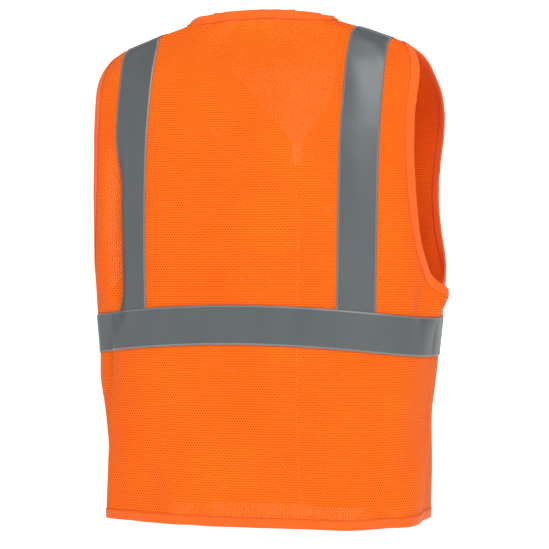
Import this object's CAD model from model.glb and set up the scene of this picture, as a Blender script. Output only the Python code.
"""Looks of a worn mesh high-visibility vest, in the frame of its CAD model (metres)."""

import math

import bpy
import numpy as np
from bpy.props import FloatProperty, FloatVectorProperty, PointerProperty
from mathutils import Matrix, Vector


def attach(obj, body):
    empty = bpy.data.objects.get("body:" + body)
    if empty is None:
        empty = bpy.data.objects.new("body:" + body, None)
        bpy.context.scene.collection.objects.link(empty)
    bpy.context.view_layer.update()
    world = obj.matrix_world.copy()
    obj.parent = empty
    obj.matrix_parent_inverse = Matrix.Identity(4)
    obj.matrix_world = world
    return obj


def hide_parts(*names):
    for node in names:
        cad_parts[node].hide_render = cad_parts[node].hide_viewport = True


bl_info = {
    "name": "High Visibility Vest",
    "version": (1, 0, 0),
    "blender": (4, 5, 0),
    "location": "View3D > Sidebar > Vest",
    "description": "Builds the cloth, tapes, trim and zip of a mesh safety vest",
    "category": "Object",
}

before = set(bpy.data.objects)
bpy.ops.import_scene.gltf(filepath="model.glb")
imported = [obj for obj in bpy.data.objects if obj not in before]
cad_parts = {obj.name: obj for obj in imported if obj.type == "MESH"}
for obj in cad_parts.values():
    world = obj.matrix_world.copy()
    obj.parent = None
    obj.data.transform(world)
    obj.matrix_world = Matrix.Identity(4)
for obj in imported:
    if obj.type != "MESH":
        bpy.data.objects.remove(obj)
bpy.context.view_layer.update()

# ---- the worn shape: height, half width, back y, front y, y of the widest line ----
FRONT_Y = -0.125
SHAPE = np.array([
    (-0.030, 0.207, 0.126, FRONT_Y, 0.000),
    (0.130, 0.214, 0.129, FRONT_Y, 0.000),
    (0.250, 0.225, 0.130, FRONT_Y, 0.000),
    (0.350, 0.231, 0.128, FRONT_Y, 0.002),
    (0.440, 0.236, 0.124, FRONT_Y, 0.006),
    (0.490, 0.237, 0.118, FRONT_Y, 0.011),
    (0.520, 0.236, 0.111, FRONT_Y + 0.003, 0.015),
    (0.548, 0.233, 0.103, FRONT_Y + 0.015, 0.019),
    (0.580, 0.221, 0.093, FRONT_Y + 0.044, 0.023),
    (0.605, 0.198, 0.081, FRONT_Y + 0.080, 0.026),
    (0.625, 0.150, 0.072, FRONT_Y + 0.105, 0.027),
    (0.645, 0.096, 0.066, FRONT_Y + 0.116, 0.027),
    (0.690, 0.084, 0.062, FRONT_Y + 0.122, 0.027),
])
POWER = 3.0  # superellipse exponent of a level section
ARMHOLE = np.array([  # y and z round the opening
    (0.026, 0.606), (0.060, 0.568), (0.079, 0.490), (0.072, 0.380), (0.044, 0.316),
    (0.000, 0.297), (-0.046, 0.315), (-0.076, 0.380), (-0.080, 0.470), (-0.036, 0.570),
])
ARM_MIDDLE = np.array((0.0, 0.450))
SHOULDER_Y = 0.027
NECK_HALF, NECK_SIDE_Z = 0.092, 0.647
NECK_BACK_Z, NECK_FRONT_Z = 0.655, 0.492
ZIP_HALF = 0.0066  # half the gap between the fronts

# ---- layers, as heights over the CAD skin ----
PANEL_LEVEL, PANEL_THICK = -0.0005, 0.0007
TRIM_THICK = 0.0007
TRIM_OUT, TRIM_IN = 0.00055, -0.00155
TAPE_LEVEL, TAPE_THICK = 0.0003, 0.0004
TAPE_LIFT = 0.0002  # shoulder tapes, over the tape level
WAIST_TAPE_LEVEL = 0.0011  # over the ends of the shoulder tapes
MESH_OVERRUN = 0.0016  # how far the mesh may reach past an opening's outline, inside the binding
LABEL_LEVEL = -0.0022
POCKET_LEVEL = 0.0008
THREAD = 0.00028

# Soft folds: low z, high z, arc from the centre back at the low and high end, width, height.
# The arc is positive towards the wearer's left.
FOLDS = (
    (0.02, 0.300, 0.245, 0.195, 0.012, -0.0140),
    (0.24, 0.500, 0.172, 0.172, 0.012, -0.0140),
    (0.24, 0.500, 0.150, 0.150, 0.010, 0.0040),
    (0.02, 0.235, 0.295, 0.262, 0.014, 0.0060),
    (0.00, 0.200, 0.215, 0.190, 0.016, 0.0050),
    (-0.05, 0.170, 0.120, 0.150, 0.020, -0.0030),
    (-0.05, 0.150, 0.040, 0.020, 0.024, 0.0028),
    (-0.05, 0.180, -0.060, -0.080, 0.022, -0.0028),
    (-0.05, 0.200, -0.150, -0.120, 0.020, 0.0032),
    (-0.05, 0.215, -0.215, -0.190, 0.016, -0.0035),
    (0.29, 0.420, -0.225, -0.185, 0.016, 0.0030),
    (0.29, 0.430, 0.215, 0.185, 0.016, 0.0030),
    (0.30, 0.560, 0.060, 0.090, 0.026, 0.0018),
    (0.30, 0.560, -0.050, -0.080, 0.026, -0.0018),
    (-0.05, 0.230, -0.385, -0.400, 0.020, 0.0035),
    (-0.05, 0.230, 0.385, 0.400, 0.020, 0.0035),
    (-0.05, 0.210, -0.330, -0.340, 0.018, -0.0035),
    (0.30, 0.470, 0.400, 0.420, 0.020, -0.0025),
    (0.30, 0.470, -0.400, -0.420, 0.020, -0.0025),
)
UNDERARMS = (  # arc and its width, height and its width, how far the cloth stands off
    (-0.283, 0.020, 0.292, 0.030, 0.017),  # the right underarm stands out in a point
    (-0.246, 0.013, 0.281, 0.026, -0.007),  # and has a hollow behind it
    (0.283, 0.022, 0.300, 0.030, -0.005),
)


def eased(z):
    """Half width, back y, front y and widest line at heights z, without overshoot."""
    heights = SHAPE[:, 0]
    z = np.clip(np.asarray(z, float), heights[0], heights[-1])
    k = np.clip(np.searchsorted(heights, z, side="right") - 1, 0, len(heights) - 2)
    span = heights[k + 1] - heights[k]
    t = (z - heights[k]) / span
    rise = np.diff(SHAPE[:, 1:], axis=0) / np.diff(heights)[:, None]
    same = rise[:-1] * rise[1:] > 0
    total = np.where(same, rise[:-1] + rise[1:], 1.0)
    slope = np.vstack([rise[:1], np.where(same, 2 * rise[:-1] * rise[1:] / total, 0.0), rise[-1:]])
    out = []
    for c in range(4):
        v0, v1 = SHAPE[k, c + 1], SHAPE[k + 1, c + 1]
        m0, m1 = slope[k, c] * span, slope[k + 1, c] * span
        out.append(
            v0 * (1 + 2 * t) * (1 - t) ** 2 + m0 * t * (1 - t) ** 2
            + v1 * (3 - 2 * t) * t**2 - m1 * t**2 * (1 - t)
        )
    return out


def on_shape(turn, z):
    """Points of the worn shape; turn runs from the wearer's left side over the back."""
    a, back, front, middle = eased(z)
    c, s = np.cos(turn), np.sin(turn)
    depth = np.where(s > 0, back - middle, middle - front)
    x = np.sign(c) * np.abs(c) ** (2 / POWER) * a
    y = middle + np.sign(s) * np.abs(s) ** (2 / POWER) * depth
    return np.stack([x, y, np.broadcast_to(z, x.shape)], -1)


def level_value(p):
    """Zero on the worn shape, negative inside it."""
    a, back, front, middle = eased(p[..., 2])
    across = p[..., 1] - middle
    depth = np.where(across > 0, back - middle, middle - front)
    return (np.abs(p[..., 0]) / a) ** POWER + (np.abs(across) / depth) ** POWER - 1


def gradient(p):
    """Direction in which level_value grows."""
    step = 1e-5
    parts = []
    for axis in range(3):
        d = np.zeros(3)
        d[axis] = step
        parts.append((level_value(p + d) - level_value(p - d)) / (2 * step))
    return np.stack(parts, -1)


def normals(p):
    g = gradient(p)
    return g / np.maximum(np.linalg.norm(g, axis=-1, keepdims=True), 1e-9)


def project(p):
    """Moves points along the gradient until they are on the worn shape."""
    for _ in range(6):
        g = gradient(p)
        p = p - g * (level_value(p) / np.maximum((g * g).sum(-1), 1e-9))[..., None]
    return p


def turn_of(p):
    """The turn of points on the worn shape, from 0 at the wearer's left side."""
    a, back, front, middle = eased(p[..., 2])
    across = p[..., 1] - middle
    depth = np.where(across > 0, back - middle, middle - front)
    c = np.sign(p[..., 0]) * (np.abs(p[..., 0]) / a) ** (POWER / 2)
    s = np.sign(across) * (np.abs(across) / depth) ** (POWER / 2)
    return np.arctan2(s, c)


_dense = np.linspace(-math.pi / 2, 1.5 * math.pi, 1441)
_ring = on_shape(_dense, np.full(_dense.shape, 0.25))
_arc = np.concatenate([[0], np.cumsum(np.linalg.norm(np.diff(_ring, axis=0), axis=1))])
_arc = np.interp(math.pi / 2, _dense, _arc) - _arc  # zero at the centre back, positive to the left
GIRTH_HALF = float(_arc[0])


def arc_of(turn):
    """Distance round the waist from the centre back, positive to the wearer's left."""
    turn = np.where(turn < -math.pi / 2, turn + 2 * math.pi, turn)
    return np.interp(turn, _dense, _arc)


def turn_at(arc):
    return np.interp(-np.asarray(arc), -_arc, _dense)


def ease(t):
    t = np.clip(t, 0, 1)
    return t * t * (3 - 2 * t)


def fold_height(p):
    """How far the cloth stands off the worn shape at points on it."""
    s, z = arc_of(turn_of(p)), p[..., 2]
    out = np.zeros(s.shape)
    for low, high, s_low, s_high, width, height in FOLDS:
        t = (z - low) / (high - low)
        where = s_low + (s_high - s_low) * ease(t)
        fade = ease(t / 0.22) * ease((1 - t) / 0.30) if low > 0 else ease((1 - t) / 0.40) * (t > -1)
        out += height * fade * np.exp(-(((s - where) / width) ** 2))
    loose = ease((0.30 - z) / 0.25)
    wave = np.sin(s * 61 + 3.1 * np.sin(z * 9.0) + 1.2)
    out += (0.0011 + 0.0016 * loose) * wave * np.sin(z * 5.2 + s * 7.0)
    out += 0.0007 * np.sin(s * 133 + 2.0 * np.sin(z * 17 + 1)) * np.sin(z * 23 + s * 15)
    for s_middle, s_width, z_middle, z_width, height in UNDERARMS:
        round_arc = np.exp(-(((s - s_middle) / s_width) ** 2))
        out += height * round_arc * np.exp(-(((z - z_middle) / z_width) ** 2))
    # Side seams draw the cloth in a little.
    out -= 0.0012 * np.exp(-(((np.abs(s) - 0.2835) / 0.0035) ** 2)) * (z < 0.4)
    # Nothing moves beside the zip.
    return out * ease((GIRTH_HALF - np.abs(s) - 0.020) / 0.060)


def lifted(p, level):
    """Points of a layer at a height over the skin, folds included."""
    return p + normals(p) * (np.asarray(level) + fold_height(p))[..., None]


# ---- outlines on the worn shape ----
def smooth_loop(points, count):
    """A closed curve through points, evenly spaced along its length."""
    n = len(points)
    dense = []
    for i in range(n):
        p0, p1, p2, p3 = (points[(i + k) % n] for k in (-1, 0, 1, 2))
        for t in np.linspace(0, 1, 24, endpoint=False):
            dense.append(0.5 * (2 * p1 + (p2 - p0) * t + (2 * p0 - 5 * p1 + 4 * p2 - p3) * t**2
                                + (3 * p1 - p0 - 3 * p2 + p3) * t**3))
    dense.append(dense[0])
    return even(np.array(dense), count + 1)[:-1]


def even(path, count):
    """The same open path with evenly spaced points."""
    length = np.concatenate([[0], np.cumsum(np.linalg.norm(np.diff(path, axis=0), axis=1))])
    where = np.linspace(0, length[-1], count)
    return np.stack([np.interp(where, length, path[:, i]) for i in range(path.shape[1])], 1)


ARM_OUTLINE = smooth_loop(ARMHOLE, 240)
_arm = ARM_OUTLINE - ARM_MIDDLE
_arm_angle = np.arctan2(_arm[:, 1], _arm[:, 0])
_order = np.argsort(_arm_angle)
_arm_angle, _arm_reach = _arm_angle[_order], np.linalg.norm(_arm, axis=1)[_order]


def in_armhole(p):
    """How far points lie inside an armhole; negative on the cloth."""
    rel = p[..., 1:] - ARM_MIDDLE
    angle = np.arctan2(rel[..., 1], rel[..., 0])
    reach = np.interp(angle, _arm_angle, _arm_reach, period=2 * math.pi)
    inside = reach - np.linalg.norm(rel, axis=-1)
    return np.where(np.abs(p[..., 0]) > NECK_HALF, inside, -1.0)


def in_neck(p):
    """How far points lie inside the neckline, counted along x or z; negative on the cloth."""
    x, z = np.abs(p[..., 0]), p[..., 2]
    t = np.clip((z - NECK_FRONT_Z) / (NECK_SIDE_Z - NECK_FRONT_Z), 0, 1)
    vee = NECK_HALF * (1.693 * t - 0.693 * t**2)
    ahead = np.where(z < NECK_FRONT_Z, z - NECK_FRONT_Z, vee - x)
    ahead = np.maximum(ahead, z - NECK_SIDE_Z)
    arch = NECK_BACK_Z - (NECK_BACK_Z - NECK_SIDE_Z) * np.clip(x / NECK_HALF, 0, 1) ** 2
    return np.where(p[..., 1] < SHOULDER_Y, ahead, z - arch)


def armhole_edge(side):
    """The edge of one armhole on the worn shape (+1 the wearer's left)."""
    y, z = ARM_OUTLINE.T
    a, back, front, middle = eased(z)
    depth = np.where(y > middle, back - middle, middle - front)
    inner = np.clip(1 - (np.abs(y - middle) / depth) ** POWER, 0, 1)
    edge = project(np.stack([side * a * inner ** (1 / POWER), y, z], -1))
    return even(np.vstack([edge, edge[:1]]), 241)[:-1]


def neck_edge():
    """The neckline from the zip on the wearer's left round the back to the zip on the right."""
    ahead = _dense[:200]
    start = float(np.interp(ZIP_HALF, on_shape(ahead, np.full(ahead.shape, 0.5))[:, 0], ahead))
    turns = np.linspace(start, math.pi - start, 900)
    low, high = np.full(turns.shape, 0.45), np.full(turns.shape, 0.665)
    for _ in range(40):
        middle = (low + high) / 2
        out = in_neck(on_shape(turns, middle)) > 0
        high, low = np.where(out, middle, high), np.where(out, low, middle)
    edge = on_shape(turns, low)
    for _ in range(6):
        edge[1:-1] = edge[1:-1] * 0.5 + (edge[:-2] + edge[2:]) * 0.25
    return even(edge, 300)


def level_line(z_of_arc, count, inset=ZIP_HALF):
    """A line round the body from the zip on the wearer's left to the zip on the right."""
    s = np.linspace(GIRTH_HALF - inset, -GIRTH_HALF + inset, count)
    return on_shape(turn_at(s), z_of_arc(s))


def hem_line():
    """The hem, from the zip on the wearer's left round the back to the zip on the right."""
    return level_line(lambda s: np.zeros(s.shape), 320)


# ---- meshes ----
def make_mesh(name, verts, faces, uv=None, smooth=True):
    mesh = bpy.data.meshes.new(name)
    mesh.from_pydata([tuple(v) for v in verts], [], [tuple(int(i) for i in f) for f in faces])
    if uv is not None:
        layer = mesh.uv_layers.new(name="UVMap")
        index = np.empty(len(mesh.loops), int)
        mesh.loops.foreach_get("vertex_index", index)
        layer.data.foreach_set("uv", np.asarray(uv, float)[index].ravel())
    if smooth:
        mesh.polygons.foreach_set("use_smooth", [True] * len(mesh.polygons))
    mesh.update()
    made = bpy.data.objects.new(name, mesh)
    bpy.context.scene.collection.objects.link(made)
    return made


def grid_faces(rows, columns, closed=False):
    """Quads of a grid stored row by row; closed joins the last row to the first."""
    i, j = np.meshgrid(np.arange(rows if closed else rows - 1), np.arange(columns - 1), indexing="ij")
    k = (i + 1) % rows
    corners = (i * columns + j, i * columns + j + 1, k * columns + j + 1, k * columns + j)
    return np.stack(corners, -1).reshape(-1, 4)


def face_outwards(verts, faces, outward):
    """Turns the faces round where most of them look inwards."""
    a, b, c = (verts[faces[:, i]] for i in (0, 1, 2))
    n = np.cross(b - a, c - a)
    mean = outward[faces].mean(1)
    return faces if (n * mean).sum() > 0 else faces[:, ::-1]


def thicken(piece, thickness):
    solid = piece.modifiers.new("Thickness", "SOLIDIFY")
    solid.thickness = thickness
    solid.offset = 0.0
    solid.use_rim = True
    return piece


def strip(name, edge, profile, closed=False, toward=None):
    """A strip along an edge; profile lists (distance from the edge, height over the skin)."""
    following = np.roll(edge, -1, 0) - np.roll(edge, 1, 0)
    if not closed:
        following[0], following[-1] = edge[1] - edge[0], edge[-1] - edge[-2]
    along = following / np.linalg.norm(following, axis=1, keepdims=True)
    n = normals(edge)
    across = np.cross(n, along)
    across /= np.linalg.norm(across, axis=1, keepdims=True)
    if toward is not None:
        across *= np.sign((across * (toward - edge)).sum(1).sum())
    rows = [lifted(project(edge + across * d), h) for d, h in profile]
    verts = np.stack(rows, 1)
    gone = np.concatenate([[0], np.cumsum([math.dist(a, b) for a, b in zip(profile, profile[1:])])])
    length = np.concatenate([[0], np.cumsum(np.linalg.norm(np.diff(edge, axis=0), axis=1))])
    uv = np.stack(np.meshgrid(length, gone, indexing="ij"), -1).reshape(-1, 2)
    flat = verts.reshape(-1, 3)
    faces = grid_faces(len(edge), len(profile), closed)
    first = np.repeat(n[:, None], len(profile), 1).reshape(-1, 3)
    if not np.array_equal(face_outwards(flat, faces[:1], first), faces[:1]):
        faces = faces[:, ::-1]
    return make_mesh(name, flat, faces, uv)


def fold_profile(width, inner_width):
    """Across a strip folded over an edge: down the outside, round the edge and up the inside."""
    half = (TRIM_OUT - TRIM_IN) / 2
    middle = (TRIM_OUT + TRIM_IN) / 2
    outside = [(d, TRIM_OUT) for d in np.linspace(width, half, 6)]
    turns = np.linspace(math.pi / 2, -math.pi / 2, 7)[1:-1]
    bend = [(half - half * math.cos(t), middle + half * math.sin(t)) for t in turns]
    inside = [(d, TRIM_IN) for d in np.linspace(half, inner_width, 5)]
    return outside + bend + inside


def shell_grid(name, arcs, heights, level, dropped):
    """A panel as a grid of arcs and heights, without the cells where dropped is true."""
    s, z = np.meshgrid(arcs, heights, indexing="ij")
    base = on_shape(turn_at(s), z)
    verts = lifted(base, level)
    step = np.linalg.norm(np.diff(base, axis=0), axis=-1)
    across = np.concatenate([np.zeros((1, len(heights))), np.cumsum(step, 0)])
    centre = np.argmin(np.abs(arcs)) if arcs.min() < 0 < arcs.max() else 0
    across -= across[centre]
    rise = np.concatenate([[0], np.cumsum(np.linalg.norm(np.diff(base[centre], axis=0), axis=-1))])
    uv = np.stack([across, np.broadcast_to(rise, across.shape)], -1)
    faces = grid_faces(len(arcs), len(heights))
    keep = ~dropped(base).reshape(-1)[faces].any(1)
    faces = faces[keep]
    used = np.unique(faces)
    renumber = np.full(verts[..., 0].size, -1)
    renumber[used] = np.arange(len(used))
    flat = verts.reshape(-1, 3)[used]
    faces = face_outwards(flat, renumber[faces], normals(base).reshape(-1, 3)[used])
    return make_mesh(name, flat, faces, uv.reshape(-1, 2)[used])


# ---- materials ----
def linear(hex_colour):
    """sRGB hex to a linear colour with alpha."""
    channels = [int(hex_colour[i : i + 2], 16) / 255 for i in (1, 3, 5)]
    return [c / 12.92 if c <= 0.04045 else ((c + 0.055) / 1.055) ** 2.4 for c in channels] + [1.0]


def node(tree, kind, settings=None, **inputs):
    """Adds a node; inputs are socket names or numbers (as _0) with a value or an output socket."""
    made = tree.nodes.new(kind)
    for key, value in (settings or {}).items():
        setattr(made, key, value)
    for key, value in inputs.items():
        socket = made.inputs[int(key[1:]) if key[0] == "_" else key.replace("_", " ")]
        if isinstance(value, bpy.types.NodeSocket):
            tree.links.new(value, socket)
        else:
            socket.default_value = value
    return made


def shader(name):
    """An empty material with its tree, a Principled BSDF and the output."""
    made = bpy.data.materials.new(name)
    made.use_nodes = True
    tree = made.node_tree
    tree.nodes.clear()
    surface = node(tree, "ShaderNodeBsdfPrincipled")
    out = node(tree, "ShaderNodeOutputMaterial")
    tree.links.new(surface.outputs[0], out.inputs["Surface"])
    return made, tree, surface, out


def set_inputs(surface, **values):
    for key, value in values.items():
        surface.inputs[key.replace("_", " ")].default_value = value


def maths(tree, operation, a, b=0.0):
    return node(tree, "ShaderNodeMath", {"operation": operation}, _0=a, _1=b).outputs[0]


def vectors(tree, operation, a, b=(0, 0, 0)):
    made = node(tree, "ShaderNodeVectorMath", {"operation": operation}, _0=a, _1=b)
    return made.outputs["Value" if operation in ("LENGTH", "DOT_PRODUCT") else "Vector"]


def cloth_place(tree):
    """Where a point is on the flat cloth, in metres."""
    return node(tree, "ShaderNodeUVMap", {"uv_map": "UVMap"}).outputs[0]


def hole_distance(tree, pitch):
    """Distance in pitches from the nearest hole of a staggered pattern."""
    cell = (1.0, math.sqrt(3), 1.0)
    half = tuple(c / 2 for c in cell)
    low = tuple(-h for h in half)
    place = vectors(tree, "SCALE", cloth_place(tree))
    place.node.inputs["Scale"].default_value = 1 / pitch
    found = []
    for shift in ((0, 0, 0), half):
        moved = vectors(tree, "ADD", place, shift)
        wrapped = node(tree, "ShaderNodeVectorMath", {"operation": "WRAP"}, _0=moved, _1=half, _2=low)
        found.append(vectors(tree, "LENGTH", vectors(tree, "MULTIPLY", wrapped.outputs[0], (1, 1, 0))))
    return maths(tree, "MINIMUM", *found)


def mixed(tree, factor, a, b):
    made = node(tree, "ShaderNodeMix", {"data_type": "RGBA"})
    for socket, value in ((made.inputs[0], factor), (made.inputs[6], a), (made.inputs[7], b)):
        if isinstance(value, bpy.types.NodeSocket):
            tree.links.new(value, socket)
        else:
            socket.default_value = value
    return made.outputs[2]


def mottled(tree, scale, detail=2.0):
    place = node(tree, "ShaderNodeTexCoord").outputs["Object"]
    return node(tree, "ShaderNodeTexNoise", None, Vector=place, Scale=scale, Detail=detail).outputs["Fac"]


def bump(tree, surface, height, distance, strength=1.0):
    made = node(tree, "ShaderNodeBump", None, Strength=strength, Distance=distance, Height=height)
    tree.links.new(made.outputs[0], surface.inputs["Normal"])


def colour_of(values):
    return [*values, 1.0]


HOLE_RADIUS = 0.085  # of a mesh hole, in pitches


def make_knit_mesh_fabric():
    """Warp-knitted polyester mesh, dyed fluorescent orange: matte, a little light comes through,
    and rows of small open holes let the dark inside show."""
    look = bpy.context.scene.vest_looks
    made, tree, surface, out = shader("polyester_mesh_warp_knitted")
    pitch = bpy.context.scene.vest_sizes.mesh_pitch
    apart = hole_distance(tree, pitch)
    rim = node(tree, "ShaderNodeMapRange", None, Value=apart, From_Min=0.17, From_Max=0.46).outputs[0]
    patchy = mottled(tree, 9.0)
    body = mixed(tree, patchy, colour_of(look.mesh_shade), colour_of(look.mesh_colour))
    colour = mixed(tree, rim, colour_of(look.mesh_hollow), body)
    tree.links.new(colour, surface.inputs["Base Color"])
    set_inputs(surface, Roughness=0.78, Specular_IOR_Level=0.12, Sheen_Weight=0.05, Sheen_Roughness=0.5)
    bump(tree, surface, rim, 0.0004, 0.55)
    glow = node(tree, "ShaderNodeBsdfTranslucent", None, Color=colour)
    through = node(tree, "ShaderNodeMixShader", None, Fac=0.10)
    tree.links.new(surface.outputs[0], through.inputs[1])
    tree.links.new(glow.outputs[0], through.inputs[2])
    clear = node(tree, "ShaderNodeBsdfTransparent")
    solid = maths(tree, "GREATER_THAN", apart, HOLE_RADIUS)
    holed = node(tree, "ShaderNodeMixShader", None, Fac=solid)
    tree.links.new(clear.outputs[0], holed.inputs[1])
    tree.links.new(through.outputs[0], holed.inputs[2])
    tree.links.new(holed.outputs[0], out.inputs["Surface"])
    return made


def make_trim_fabric(name, colour, ribs, depth):
    """Plain orange polyester, ribbed along or across: matte with fine lines."""
    made, tree, surface, _ = shader(name)
    place = cloth_place(tree)
    scaled = vectors(tree, "MULTIPLY", place, (*ribs, 0))
    split = node(tree, "ShaderNodeSeparateXYZ", None, Vector=scaled)
    wave = maths(tree, "SINE", maths(tree, "ADD", split.outputs[0], split.outputs[1]))
    patchy = mottled(tree, 25.0)
    darker = [c * 0.82 for c in colour]
    tree.links.new(mixed(tree, patchy, colour_of(darker), colour_of(colour)), surface.inputs["Base Color"])
    set_inputs(surface, Roughness=0.8, Specular_IOR_Level=0.2, Sheen_Weight=0.1, Sheen_Roughness=0.5)
    bump(tree, surface, wave, depth, 0.5)
    return made


def make_reflective_tape():
    """Glass-bead retroreflective fabric: flat grey in room light with a soft metallic lift and a
    faint speckle from the beads; the cut edges look paler."""
    look = bpy.context.scene.vest_looks
    made, tree, surface, _ = shader("glass_bead_reflective_tape")
    split = node(tree, "ShaderNodeSeparateXYZ", None, Vector=cloth_place(tree))
    width = bpy.context.scene.vest_sizes.tape_width
    from_middle = maths(tree, "ABSOLUTE", maths(tree, "SUBTRACT", split.outputs[1], width / 2))
    edge = node(tree, "ShaderNodeMapRange", None, Value=from_middle,
                From_Min=width / 2 - 0.0030, From_Max=width / 2 - 0.0012)
    patchy = mottled(tree, 14.0, 3.0)
    body = mixed(tree, patchy, colour_of(look.tape_shade), colour_of(look.tape_colour))
    colour = mixed(tree, edge.outputs[0], body, colour_of(look.tape_edge))
    tree.links.new(colour, surface.inputs["Base Color"])
    set_inputs(surface, Roughness=0.46, Metallic=0.25, Specular_IOR_Level=0.4)
    bump(tree, surface, mottled(tree, 1400.0, 2.0), 0.00008, 0.35)
    return made


def make_label_satin():
    """White woven satin label: smooth, slightly glossy."""
    made, _, surface, _ = shader("woven_satin_label")
    set_inputs(surface, Base_Color=linear("#E9E8E2"), Roughness=0.5, Sheen_Weight=0.2)
    return made


def make_moulded_acetal():
    """Injection-moulded acetal teeth, dyed through: smooth, waxy half gloss."""
    made, tree, surface, _ = shader("moulded_acetal_dyed")
    set_inputs(surface, Base_Color=linear("#F05A14"), Roughness=0.34, IOR=1.48)
    bump(tree, surface, mottled(tree, 900.0), 0.00003, 0.3)
    return made


def make_painted_zinc():
    """Die-cast zinc with sprayed enamel: smooth and glossy with soft orange peel."""
    made, tree, surface, _ = shader("die_cast_zinc_enamelled")
    set_inputs(surface, Base_Color=linear("#E8500F"), Roughness=0.26, IOR=1.5,
               Coat_Weight=0.3, Coat_Roughness=0.12)
    bump(tree, surface, mottled(tree, 500.0), 0.00005, 0.25)
    return made


def make_thread():
    """Spun polyester sewing thread: matte, with a hairy sheen."""
    look = bpy.context.scene.vest_looks
    made, _, surface, _ = shader("spun_polyester_thread")
    set_inputs(surface, Base_Color=colour_of(look.thread_colour), Roughness=0.7, Sheen_Weight=0.2)
    return made


def make_grey_thread():
    """Grey polyester sewing thread along the tape: a little brighter than the tape."""
    made, _, surface, _ = shader("grey_polyester_thread")
    set_inputs(surface, Base_Color=linear("#9A9C9C"), Roughness=0.65, Sheen_Weight=0.2)
    return made


MATERIALS = {}
MAKERS = {
    "mesh": make_knit_mesh_fabric,
    "trim": lambda: make_trim_fabric(
        "polyester_knit_binding", bpy.context.scene.vest_looks.trim_colour,
        (0, 2 * math.pi / 0.0012), 0.00015
    ),
    "pocket": lambda: make_trim_fabric(
        "polyester_plain_weave", bpy.context.scene.vest_looks.trim_colour,
        (2 * math.pi / 0.0009, 2 * math.pi / 0.0009), 0.0001
    ),
    "zip_tape": lambda: make_trim_fabric(
        "woven_zip_tape", bpy.context.scene.vest_looks.trim_colour, (2 * math.pi / 0.0010, 0), 0.00012
    ),
    "tape": make_reflective_tape,
    "label": make_label_satin,
    "acetal": make_moulded_acetal,
    "zinc": make_painted_zinc,
    "thread": make_thread,
    "grey_thread": make_grey_thread,
}


def material(key):
    if key not in MATERIALS:
        MATERIALS[key] = MAKERS[key]()
    return MATERIALS[key]


def dress(piece, key):
    piece.data.materials.clear()
    piece.data.materials.append(material(key))
    return piece


# ---- stitches ----
def stitch_tree():
    """Geometry nodes: short stitches laid end to end along a path."""
    tree = bpy.data.node_groups.new("stitch_row", "GeometryNodeTree")
    face = tree.interface
    face.new_socket("Geometry", in_out="INPUT", socket_type="NodeSocketGeometry")
    for name in ("Stitch Pitch", "Stitch Length", "Thread Radius"):
        face.new_socket(name, in_out="INPUT", socket_type="NodeSocketFloat")
    face.new_socket("Thread", in_out="INPUT", socket_type="NodeSocketMaterial")
    face.new_socket("Geometry", in_out="OUTPUT", socket_type="NodeSocketGeometry")
    given = tree.nodes.new("NodeGroupInput").outputs
    curve = node(tree, "GeometryNodeMeshToCurve", None, Mesh=given["Geometry"])
    points = node(tree, "GeometryNodeResampleCurve", {"mode": "LENGTH"}, Curve=curve.outputs[0])
    tree.links.new(given["Stitch Pitch"], points.inputs["Length"])
    tangent = node(tree, "GeometryNodeInputTangent")
    turned = node(tree, "FunctionNodeAlignRotationToVector", {"axis": "Z"})
    tree.links.new(tangent.outputs[0], turned.inputs["Vector"])
    kept = node(tree, "GeometryNodeCaptureAttribute")
    kept.capture_items.new("ROTATION", "Rotation")
    tree.links.new(points.outputs[0], kept.inputs[0])
    tree.links.new(turned.outputs[0], kept.inputs[1])
    bead = node(tree, "GeometryNodeMeshUVSphere", None, Segments=6, Rings=4, Radius=1.0)
    size = node(tree, "ShaderNodeCombineXYZ", None, X=given["Thread Radius"], Y=given["Thread Radius"])
    tree.links.new(maths(tree, "MULTIPLY", given["Stitch Length"], 0.5), size.inputs["Z"])
    laid = node(tree, "GeometryNodeInstanceOnPoints", None, Points=kept.outputs[0], Instance=bead.outputs[0])
    tree.links.new(kept.outputs[1], laid.inputs["Rotation"])
    tree.links.new(size.outputs[0], laid.inputs["Scale"])
    real = node(tree, "GeometryNodeRealizeInstances", None, Geometry=laid.outputs[0])
    dressed = node(tree, "GeometryNodeSetMaterial", None, Geometry=real.outputs[0], Material=given["Thread"])
    out = tree.nodes.new("NodeGroupOutput")
    tree.links.new(dressed.outputs[0], out.inputs[0])
    return tree


def sew(name, paths, thread="thread"):
    """A piece of stitches along paths of points, closed where a path ends where it starts."""
    verts, edges = [], []
    for path in paths:
        start = len(verts)
        verts += [tuple(p) for p in path]
        edges += [(i, i + 1) for i in range(start, len(verts) - 1)]
    mesh = bpy.data.meshes.new(name + "_path")
    mesh.from_pydata(verts, edges, [])
    guide = bpy.data.objects.new(name + "_path", mesh)
    bpy.context.scene.collection.objects.link(guide)
    tree = bpy.data.node_groups.get("stitch_row") or stitch_tree()
    sizes = bpy.context.scene.vest_sizes
    modifier = guide.modifiers.new("Stitches", "NODES")
    modifier.node_group = tree
    inputs = {i.name: i.identifier for i in tree.interface.items_tree if i.in_out == "INPUT"}
    modifier[inputs["Stitch Pitch"]] = sizes.stitch_pitch
    modifier[inputs["Stitch Length"]] = sizes.stitch_pitch * 0.86
    modifier[inputs["Thread Radius"]] = THREAD
    modifier[inputs["Thread"]] = material(thread)
    evaluated = guide.evaluated_get(bpy.context.evaluated_depsgraph_get())
    made = bpy.data.objects.new(name, bpy.data.meshes.new_from_object(evaluated))
    bpy.context.scene.collection.objects.link(made)
    bpy.data.objects.remove(guide)
    return made


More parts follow.
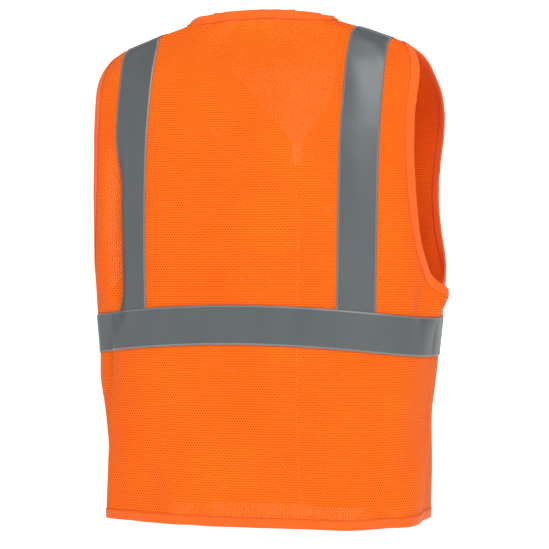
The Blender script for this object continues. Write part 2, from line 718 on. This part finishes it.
def edge_line(edge, distance, height, toward, closed=False):
    """Points at a distance in from an edge and a height over the skin."""
    following = np.roll(edge, -1, 0) - np.roll(edge, 1, 0)
    if not closed:
        following[0], following[-1] = edge[1] - edge[0], edge[-1] - edge[-2]
    across = np.cross(normals(edge), following)
    across /= np.linalg.norm(across, axis=1, keepdims=True)
    across *= np.sign((across * (toward - edge)).sum(1).sum())
    line = lifted(project(edge + across * distance), height)
    return np.vstack([line, line[:1]]) if closed else line


# ---- pieces ----
def belongs(piece, slot_name, key, *nodes):
    dress(piece, key)
    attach(piece, "vest")
    if nodes:
        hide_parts(*nodes)
    return piece


def edge_at(distance):
    """Tests whether points lie beyond the raw edge of the mesh."""
    def beyond(p):
        return (in_armhole(p) > -distance) | (in_neck(p) > -distance)
    return beyond


WAIST_TAPE_Z = 0.253  # middle of the waist tape at the centre of the back and front
WAIST_TAPE_DROP = 0.016  # how much lower it is beside the arms
WAIST_HALF = 0.225
SHOULDER_TAPE_X = 0.150  # at the waist tape
SHOULDER_TAPE_SPREAD, SHOULDER_TAPE_RISE = 0.004, 0.4  # how far it moves out over that height


def waist_middle(s):
    """Height of the middle of the waist tape at an arc from the centre back."""
    x = on_shape(turn_at(s), 0.25)[..., 0]
    return WAIST_TAPE_Z - WAIST_TAPE_DROP * (x / WAIST_HALF) ** 2


SIDE_ARC = float(arc_of(np.array(0.0)))  # from the centre back to a side seam
SIDES = {"left": 1, "right": -1}
MADE = {}


def panel_heights(step):
    """Heights of a panel's rows, closer together where the shoulders lie flat."""
    z = np.linspace(0.0016, 0.658, 1200)
    a, _, front, _ = eased(z)
    run = np.sqrt(np.diff(z) ** 2 + np.maximum(np.diff(a) ** 2, np.diff(front) ** 2))
    length = np.concatenate([[0], np.cumsum(run)])
    return np.interp(np.linspace(0, length[-1], int(length[-1] / step)), length, z)


class VEST_OT_back(bpy.types.Operator):
    """Add the mesh back and the blank label inside its neck"""

    bl_idname = "vest.back"
    bl_label = "Back"

    def execute(self, context):
        step = context.scene.vest_sizes.cloth_step
        arcs = np.linspace(-SIDE_ARC, SIDE_ARC, int(2 * SIDE_ARC / step))
        back = shell_grid("back_mesh", arcs, panel_heights(step), PANEL_LEVEL, edge_at(-MESH_OVERRUN))
        MADE["back"] = belongs(thicken(back, PANEL_THICK), "mesh", "mesh", "back_panel")
        x, z = np.meshgrid(np.linspace(-0.021, 0.021, 15), np.linspace(0.604, 0.630, 10), indexing="ij")
        a, y_back, _, middle = eased(z)
        y = middle + (y_back - middle) * (1 - (np.abs(x) / a) ** POWER) ** (1 / POWER)
        verts = lifted(project(np.stack([x, y, z], -1)), LABEL_LEVEL).reshape(-1, 3)
        uv = np.stack([x, z], -1).reshape(-1, 2)
        label = make_mesh("neck_label_patch", verts, grid_faces(15, 10), uv)
        MADE["label"] = belongs(thicken(label, 0.0003), "label", "label", "neck_label")
        return {"FINISHED"}


class VEST_OT_fronts(bpy.types.Operator):
    """Add the two mesh fronts"""

    bl_idname = "vest.fronts"
    bl_label = "Fronts"

    def execute(self, context):
        step = context.scene.vest_sizes.cloth_step
        count = int((GIRTH_HALF - SIDE_ARC) / step)
        heights = panel_heights(step)
        for name, side in SIDES.items():
            arcs = side * np.linspace(SIDE_ARC, GIRTH_HALF - ZIP_HALF, count)
            front = shell_grid(f"{name}_front_mesh", arcs, heights, PANEL_LEVEL, edge_at(-MESH_OVERRUN))
            MADE[name] = belongs(thicken(front, PANEL_THICK), "mesh", "mesh", f"{name}_front_panel")
        return {"FINISHED"}


def arm_toward(edge):
    centre = np.stack([edge[:, 0], np.zeros(len(edge)), np.full(len(edge), ARM_MIDDLE[1])], 1)
    return 2 * edge - centre


def neck_toward(edge):
    return 2 * edge - np.array((0.0, 0.0, 0.62))


def up_from(edge):
    return edge + np.array((0.0, 0.0, 1.0))


class VEST_OT_bindings(bpy.types.Operator):
    """Add the folded strips round the neck and armholes and along the hem"""

    bl_idname = "vest.bindings"
    bl_label = "Bindings"

    def execute(self, context):
        width = context.scene.vest_sizes.binding_width
        profile = fold_profile(width, width)
        strips = [("neck_binding_strip", neck_edge(), False, neck_toward, "neck_binding"),
                  ("hem_binding_strip", hem_line(), False, up_from, "hem_binding")]
        for name, side in SIDES.items():
            cad = f"{name}_armhole_binding"
            strips.append((f"{name}_armhole_strip", armhole_edge(side), True, arm_toward, cad))
        for name, edge, closed, toward, cad in strips:
            piece = strip(name, edge, profile, closed, toward(edge))
            MADE[name] = belongs(thicken(piece, TRIM_THICK), "binding", "trim", cad)
        return {"FINISHED"}


def shoulder_path(side):
    """The middle of a shoulder tape from the waist at the back to the waist at the front."""
    angle = np.linspace(-0.36 * math.pi, 1.36 * math.pi, 900)
    low, high = np.full(angle.shape, 0.01), np.full(angle.shape, 0.45)
    for _ in range(40):
        reach = (low + high) / 2
        y, z = 0.015 + reach * np.cos(angle), 0.45 + reach * np.sin(angle)
        x = side * (SHOULDER_TAPE_X + SHOULDER_TAPE_SPREAD * (z - WAIST_TAPE_Z) / SHOULDER_TAPE_RISE)
        out = level_value(np.stack([x, y, z], -1)) > 0
        high, low = np.where(out, reach, high), np.where(out, low, reach)
    path = np.stack([x, y, z], 1)
    return path[path[:, 2] > waist_middle(arc_of(turn_of(path))) + 0.014]


class VEST_OT_tapes(bpy.types.Operator):
    """Add the reflective band round the waist and the two over the shoulders"""

    bl_idname = "vest.tapes"
    bl_label = "Reflective tapes"

    def execute(self, context):
        half = context.scene.vest_sizes.tape_width / 2
        across = np.linspace(-half, half, 15)
        waist = level_line(waist_middle, 360)
        profile = [(d, WAIST_TAPE_LEVEL) for d in across]
        band = strip("waist_tape_band", waist, profile, False, up_from(waist))
        belongs(thicken(band, TAPE_THICK), "reflective_tape", "tape",
                "back_waist_tape", "left_front_waist_tape", "right_front_waist_tape")
        MADE["waist"] = band
        for name, side in SIDES.items():
            path = even(shoulder_path(side), 240)
            outward = path + np.array((side, 0.0, 0.0))
            profile = [(d, TAPE_LEVEL + TAPE_LIFT) for d in across]
            made = strip(f"{name}_shoulder_tape_strip", path, profile, False, outward)
            belongs(thicken(made, TAPE_THICK), "reflective_tape", "tape",
                    f"{name}_back_shoulder_tape", f"{name}_front_shoulder_tape")
            MADE[f"{name}_shoulder"] = made
        return {"FINISHED"}


POCKETS = {  # low x, high x, low z, high z, how far the mouth stands off
    "chest_pocket": (0.030, 0.116, 0.312, 0.425, 0.0030),
    "left_lower_pocket": (0.034, 0.176, 0.030, 0.178, 0.0050),
    "right_lower_pocket": (-0.176, -0.034, 0.030, 0.178, 0.0050),
}
POCKET_CORNER = 0.012
POCKET_STITCH_LEVEL = 0.00035


def front_point(x, z):
    a, _, y_front, middle = eased(z)
    y = middle - (middle - y_front) * np.clip(1 - (np.abs(x) / a) ** POWER, 0, 1) ** (1 / POWER)
    return project(np.stack([x, y, z], -1))


def pocket_point(box, u, v, extra):
    """A point of a pocket at shares u across and v up, extra above its face."""
    x0, x1, z0, z1, stand = box
    z = z0 + v * (z1 - z0)
    up = np.clip(z - z0, 0, POCKET_CORNER)
    inset = POCKET_CORNER - np.sqrt(np.maximum(POCKET_CORNER**2 - (POCKET_CORNER - up) ** 2, 0))
    x = x0 + inset + u * (x1 - x0 - 2 * inset)
    bulge = stand * np.sin(math.pi * np.clip(u, 0, 1)) ** 0.7 * ease(v * 1.1)
    level = np.maximum(POCKET_LEVEL + bulge + extra, 0.0004)
    return lifted(front_point(x, z), level)


class VEST_OT_pockets(bpy.types.Operator):
    """Add the patch pockets on the fronts"""

    bl_idname = "vest.pockets"
    bl_label = "Pockets"

    def execute(self, context):
        for cad, box in POCKETS.items():
            hem = 0.016 / (box[3] - box[2])
            climb = [(v, 0.0) for v in np.linspace(0, 1, 34)]
            turn = [(1.0, -0.0006), (0.998, -0.0011)]
            inside = [(1 - t * hem, -0.0013) for t in np.linspace(0.15, 1, 6)]
            rows = np.array(climb + turn + inside)
            u, k = np.meshgrid(np.linspace(0, 1, 34), np.arange(len(rows)), indexing="ij")
            verts = pocket_point(box, u, rows[k, 0], rows[k, 1])
            uv = np.stack([u * (box[1] - box[0]), k * (box[3] - box[2]) / 33], -1).reshape(-1, 2)
            flat, faces = verts.reshape(-1, 3), grid_faces(34, len(rows))
            first = face_outwards(flat, faces[:1], np.tile((0.0, -1.0, 0.0), (len(flat), 1)))
            faces = faces if np.array_equal(first, faces[:1]) else faces[:, ::-1]
            bag = make_mesh(cad + "_patch", flat, faces, uv)
            MADE[cad] = belongs(thicken(bag, 0.0005), "pocket_cloth", "pocket", cad)
        return {"FINISHED"}


ZIP_Y = -0.12335
ZIP_TAPE_IN, ZIP_TAPE_OUT = 0.0034, 0.0183  # edges of a closed zip tape, from the middle
ROW_PARTING = 0.0019  # how far each row leaves the middle inside the slider
SLIDER_TOP, SLIDER_LOW = 0.4663, 0.4543


def parting(z):
    start, full = SLIDER_LOW + 0.002, SLIDER_TOP - 0.004
    return ROW_PARTING * np.clip((z - start) / (full - start), 0, 1)


class VEST_OT_zip(bpy.types.Operator):
    """Dress the moulded teeth, slider and pull, and add the woven zip tapes"""

    bl_idname = "vest.zip"
    bl_label = "Zip"

    def execute(self, context):
        z = np.concatenate([np.linspace(0.0123, 0.452, 90), np.linspace(0.453, 0.4713, 20)])
        for name, side in SIDES.items():
            near = ZIP_TAPE_IN + parting(z)
            x = side * (near[:, None] + (ZIP_TAPE_OUT - near)[:, None] * np.linspace(0, 1, 7)[None])
            zz = np.broadcast_to(z[:, None], x.shape)
            verts = np.stack([x, np.full(x.shape, ZIP_Y), zz], -1).reshape(-1, 3)
            uv = np.stack([zz, np.abs(x)], -1).reshape(-1, 2)
            faces = grid_faces(len(z), 7)
            faces = face_outwards(verts, faces, np.tile((0.0, -1.0, 0.0), (len(verts), 1)))
            made = make_mesh(f"{name}_zip_tape_strip", verts, faces, uv)
            cad = f"{name}_zip_tape"
            MADE[cad] = belongs(thicken(made, 0.0006), "zip_tape", "zip_tape", cad)
            dress(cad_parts[f"{name}_zip_teeth"], "acetal")
        for cad, key in (("zip_box", "acetal"), ("zip_pin", "acetal"),
                         ("zip_slider", "zinc"), ("zip_pull", "zinc")):
            dress(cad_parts[cad], key)
        return {"FINISHED"}


class VEST_OT_stitches(bpy.types.Operator):
    """Sew the bindings, seams, tapes, pockets and zip"""

    bl_idname = "vest.stitches"
    bl_label = "Stitches"

    def execute(self, context):
        sizes = context.scene.vest_sizes
        over = TRIM_OUT + TRIM_THICK / 2 + THREAD * 0.6
        inset = sizes.binding_width - 0.0018
        neck, hem = neck_edge(), hem_line()
        rows = [edge_line(neck, inset, over, neck_toward(neck)), edge_line(hem, inset, over, up_from(hem))]
        for side in SIDES.values():
            edge = armhole_edge(side)
            rows.append(edge_line(edge, inset, over, arm_toward(edge), True))
        MADE["trim_stitches"] = sew("binding_stitches", rows)

        seams = []
        on_mesh = PANEL_LEVEL + PANEL_THICK / 2 + THREAD * 0.6
        for side in SIDES.values():
            for low, high in ((0.0135, 0.282), (0.610, 0.6425)):
                z = np.linspace(low, high, 120)
                for offset in (-0.0022, -0.0040):
                    arc = np.full(z.shape, side * (SIDE_ARC + offset))
                    seams.append(lifted(on_shape(turn_at(arc), z), on_mesh))
            z = np.linspace(0.0135, 0.4815, 300)
            arc = np.full(z.shape, side * (GIRTH_HALF - ZIP_HALF - 0.003))
            seams.append(lifted(on_shape(turn_at(arc), z), on_mesh))
        MADE["seam_stitches"] = sew("seam_stitches", seams)

        reach = sizes.tape_width / 2 - 0.0020
        waist = level_line(waist_middle, 360)
        level = WAIST_TAPE_LEVEL + TAPE_THICK / 2 + THREAD * 0.5
        lines = [edge_line(waist, d, level, up_from(waist)) for d in (-reach, reach)]
        for side in SIDES.values():
            path = even(shoulder_path(side), 240)
            path = path[path[:, 2] > waist_middle(arc_of(turn_of(path))) + 0.026]
            outward = path + np.array((side, 0.0, 0.0))
            level = TAPE_LEVEL + TAPE_LIFT + TAPE_THICK / 2 + THREAD * 0.5
            lines += [edge_line(path, d, level, outward) for d in (-reach, reach)]
        MADE["tape_stitches"] = sew("tape_stitches", lines, "grey_thread")

        bags = []
        for box in POCKETS.values():
            width, height = box[1] - box[0], box[3] - box[2]
            du, dv = 0.0016 / width, 0.0016 / height
            along = np.linspace(du, 1 - du, 60)
            u = np.concatenate([np.full(60, du), along, np.full(60, 1 - du)])
            v = np.concatenate([np.linspace(1, dv, 60), np.full(60, dv), np.linspace(dv, 1, 60)])
            bags.append(pocket_point(box, u, v, POCKET_STITCH_LEVEL))
            mouth = np.full(80, 1 - 0.014 / height)
            bags.append(pocket_point(box, np.linspace(du, 1 - du, 80), mouth, POCKET_STITCH_LEVEL))
        MADE["pocket_stitches"] = sew("pocket_stitches", bags)
        for key, slot_name in (("trim_stitches", "binding"), ("seam_stitches", "mesh"),
                               ("tape_stitches", "reflective_tape"), ("pocket_stitches", "pocket_cloth")):
            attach(MADE[key], "vest")
        return {"FINISHED"}


class VEST_OT_cloth_record(bpy.types.Operator):
    """Record the flat size of each piece of cloth"""

    bl_idname = "vest.cloth_record"
    bl_label = "Record flat sizes"

    def execute(self, context):
        return {"FINISHED"}


class VEST_OT_stage(bpy.types.Operator):
    """Add the pale floor, the soft lights and the camera"""

    bl_idname = "vest.stage"
    bl_label = "Stage"

    def execute(self, context):
        scene = context.scene
        scene.view_settings.view_transform = "Standard"
        floor, _, surface, _ = shader("pale_matte_paper")
        set_inputs(surface, Base_Color=linear("#FFFFFF"), Roughness=0.95, Specular_IOR_Level=0.0)
        set_inputs(surface, Emission_Color=linear("#FFFFFF"), Emission_Strength=0.6)
        reach, low, radius = 7.0, -0.45, 1.6
        profile = [(-reach, low)] + [
            (reach - radius + radius * math.sin(t), low + radius - radius * math.cos(t))
            for t in np.linspace(0, math.pi / 2, 16)
        ] + [(reach, low + 6.0)]
        verts = [(x, y, z) for x in (-9.0, 9.0) for y, z in [(-y, z) for y, z in profile]]
        faces = grid_faces(2, len(profile))
        sweep = make_mesh("studio_sweep", np.array(verts), faces)
        sweep.data.materials.append(floor)
        world = bpy.data.worlds.new("studio_world")
        world.use_nodes = True
        sky = world.node_tree.nodes["Background"]
        sky.inputs["Color"].default_value = linear("#FFFFFF")
        sky.inputs["Strength"].default_value = scene.vest_looks.room_light
        scene.world = world
        for name, place, size, power in (
            ("key_softbox", (-1.1, 2.3, 2.6), 1.8, 85.0),
            ("fill_softbox", (2.6, 1.2, 1.2), 2.0, 9.0),
            ("front_softbox", (0.8, -2.8, 1.6), 2.0, 4.0),
        ):
            light = bpy.data.lights.new(name, "AREA")
            light.size, light.energy = size, power
            lamp = bpy.data.objects.new(name, light)
            scene.collection.objects.link(lamp)
            lamp.location = place
            aim_at(lamp, (0, 0, 0.35))
        camera = bpy.data.objects.new("camera", bpy.data.cameras.new("camera"))
        scene.collection.objects.link(camera)
        camera.data.lens = 130.0
        camera.data.sensor_width = 36.0
        yaw, distance = math.radians(18.0), 2.6
        right = np.array((-math.cos(yaw), -math.sin(yaw), 0.0))
        target = np.array((0.0, 0.0, 0.316)) + right * 0.0065
        camera.location = target + distance * np.array((-math.sin(yaw), math.cos(yaw), 0.0))
        aim_at(camera, target)
        scene.camera = camera
        return {"FINISHED"}


def aim_at(holder, target):
    way = Vector(target) - Vector(holder.location)
    holder.rotation_euler = way.to_track_quat("-Z", "Y").to_euler()


# ---- properties, panel and registration ----
def length_property(label, text, default):
    return FloatProperty(name=label, description=text, default=default, unit="LENGTH")


class VestSizes(bpy.types.PropertyGroup):
    """Sizes a maker would change"""

    tape_width: length_property("Tape width", "Width of the reflective tape", 0.050)
    binding_width: length_property("Binding width", "Visible width of the folded strips", 0.012)
    mesh_pitch: length_property("Mesh pitch", "Distance between two holes of the mesh", 0.0036)
    stitch_pitch: length_property("Stitch pitch", "Length of one machine stitch", 0.0032)
    cloth_step: length_property("Cloth step", "Grid step of the mesh panels", 0.0045)


def colour_property(label, text, hex_colour):
    return FloatVectorProperty(name=label, description=text, default=linear(hex_colour)[:3], size=3,
                               subtype="COLOR", min=0, max=1)


class VestLooks(bpy.types.PropertyGroup):
    """Colours and room light"""

    mesh_colour: colour_property("Mesh", "Lit side of the mesh", "#FF8410")
    mesh_shade: colour_property("Mesh shade", "Denser patches of the mesh", "#FF6A12")
    mesh_hollow: colour_property("Mesh hollow", "Inside of the holes' rims", "#E4480E")
    trim_colour: colour_property("Trim", "Bindings, pockets and zip tapes", "#FF6A1C")
    thread_colour: colour_property("Thread", "Orange sewing thread", "#FF6A28")
    tape_colour: colour_property("Tape", "Reflective tape", "#5F6466")
    tape_shade: colour_property("Tape shade", "Dull patches of the tape", "#585D5F")
    tape_edge: colour_property("Tape edge", "Cut edges of the tape", "#7C7C7A")
    room_light: FloatProperty(
        name="Room light", description="Brightness of the white room", default=0.30, min=0.0
    )


STEPS = ("back", "fronts", "bindings", "tapes", "pockets", "zip", "stitches", "cloth_record", "stage")


class VEST_PT_panel(bpy.types.Panel):
    """Lists the vest's sizes, colours and pieces"""

    bl_idname = "VEST_PT_panel"
    bl_label = "Vest"
    bl_space_type = "VIEW_3D"
    bl_region_type = "UI"
    bl_category = "Vest"

    def draw(self, context):
        for group in (context.scene.vest_sizes, context.scene.vest_looks):
            for key in group.__annotations__:
                self.layout.prop(group, key)
        for step in STEPS:
            self.layout.operator(f"vest.{step}")


CLASSES = (
    VestSizes, VestLooks, VEST_OT_back, VEST_OT_fronts, VEST_OT_bindings, VEST_OT_tapes, VEST_OT_pockets,
    VEST_OT_zip, VEST_OT_stitches, VEST_OT_cloth_record, VEST_OT_stage, VEST_PT_panel,
)


def register():
    for cls in CLASSES:
        bpy.utils.register_class(cls)
    bpy.types.Scene.vest_sizes = PointerProperty(type=VestSizes)
    bpy.types.Scene.vest_looks = PointerProperty(type=VestLooks)


def unregister():
    del bpy.types.Scene.vest_looks
    del bpy.types.Scene.vest_sizes
    for cls in reversed(CLASSES):
        bpy.utils.unregister_class(cls)


def main():
    register()
    for step in STEPS:
        getattr(bpy.ops.vest, step)()


if __name__ == "__main__":
    main()
